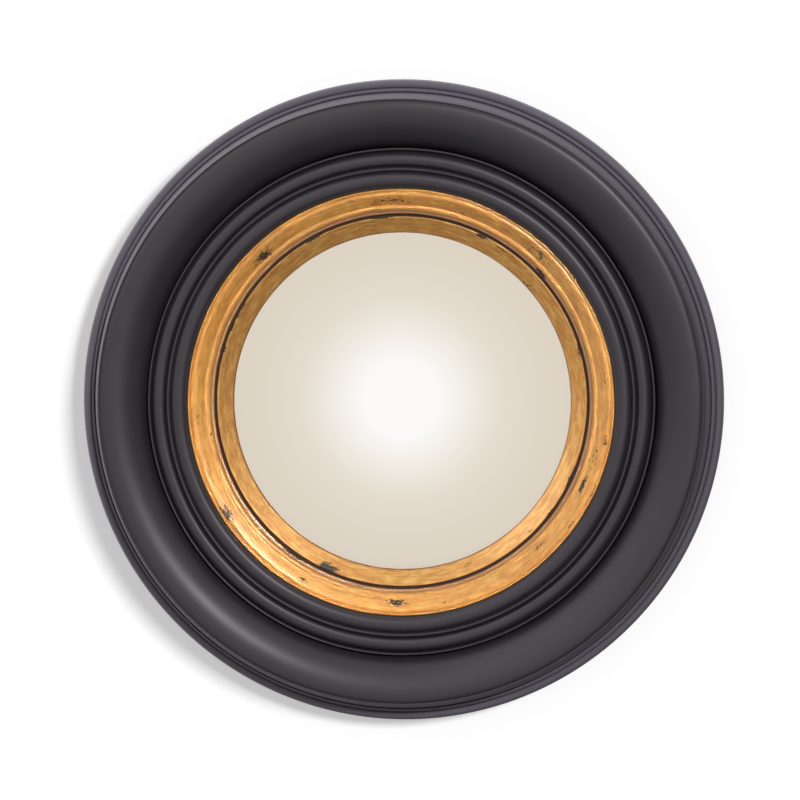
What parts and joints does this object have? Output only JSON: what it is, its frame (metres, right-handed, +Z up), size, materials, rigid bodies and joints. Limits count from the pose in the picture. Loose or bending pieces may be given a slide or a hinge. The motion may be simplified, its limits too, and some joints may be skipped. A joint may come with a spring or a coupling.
{
  "type": "convex wall mirror",
  "caption": "Round convex mirror in a deep turned black frame with a gilt inner ring, hung on a D-ring hanger.",
  "frame": {"origin": "the point on the wall plane under which the hanger's ring bears on its hook, straight above the mirror's centre", "axes": "+Y points into the wall, the glass faces -Y, and +Z is up"},
  "size_m": [0.3798, 0.0415, 0.3797],
  "materials": {
    "black_paint": "satin black paint on turned wood",
    "gold_leaf": "distressed gold leaf on turned wood",
    "silvered_glass": "silvered, polished",
    "felt": "pressed felt",
    "cork": "cork sheet",
    "hardboard": "tempered hardboard",
    "zinc_plate": "bright zinc plated steel"
  },
  "bodies": {
    "frame": {"outer_frame": "black_paint", "gilt_ring": "gold_leaf", "inner_slip": "gold_leaf", "convex_glass": "silvered_glass", "glass_bed_tape": "felt", "packing_ring": "cork", "backing_board": "hardboard", "ring_pin_1": "zinc_plate", "ring_pin_2": "zinc_plate", "ring_pin_3": "zinc_plate", "ring_pin_4": "zinc_plate", "ring_pin_5": "zinc_plate", "ring_pin_6": "zinc_plate", "turn_button_screw_1": "zinc_plate", "turn_button_screw_2": "zinc_plate", "turn_button_screw_3": "zinc_plate", "turn_button_screw_4": "zinc_plate", "turn_button_screw_5": "zinc_plate", "turn_button_screw_6": "zinc_plate", "hanger_plate": "zinc_plate", "hanger_screw_1": "zinc_plate", "hanger_screw_2": "zinc_plate", "wall_pad_1": "felt", "wall_pad_2": "felt", "wall_pad_3": "felt", "wall_pad_4": "felt"},
    "button_1": {"turn_button_1": "zinc_plate"},
    "button_2": {"turn_button_2": "zinc_plate"},
    "button_3": {"turn_button_3": "zinc_plate"},
    "button_4": {"turn_button_4": "zinc_plate"},
    "button_5": {"turn_button_5": "zinc_plate"},
    "button_6": {"turn_button_6": "zinc_plate"},
    "ring": {"hanger_ring": "zinc_plate"}
  },
  "joints": [
    {"name": "button_turn_1", "type": "hinge", "parent": "frame", "child": "button_1", "pos_m": [0.1292, -0.0074, -0.16985], "axis": [0, 1, 0], "continuous": true},
    {"name": "button_turn_2", "type": "hinge", "parent": "frame", "child": "button_2", "pos_m": [0.0646, -0.0074, -0.05796], "axis": [0, 1, 0], "continuous": true},
    {"name": "button_turn_3", "type": "hinge", "parent": "frame", "child": "button_3", "pos_m": [-0.0646, -0.0074, -0.05796], "axis": [0, 1, 0], "continuous": true},
    {"name": "button_turn_4", "type": "hinge", "parent": "frame", "child": "button_4", "pos_m": [-0.1292, -0.0074, -0.16985], "axis": [0, 1, 0], "continuous": true},
    {"name": "button_turn_5", "type": "hinge", "parent": "frame", "child": "button_5", "pos_m": [-0.0646, -0.0074, -0.28174], "axis": [0, 1, 0], "continuous": true},
    {"name": "button_turn_6", "type": "hinge", "parent": "frame", "child": "button_6", "pos_m": [0.0646, -0.0074, -0.28174], "axis": [0, 1, 0], "continuous": true},
    {"name": "ring_swing", "type": "hinge", "parent": "frame", "child": "ring", "pos_m": [0, -0.0051, -0.009], "axis": [-1, 0, 0], "range_deg": [-7, 160]}
  ]
}
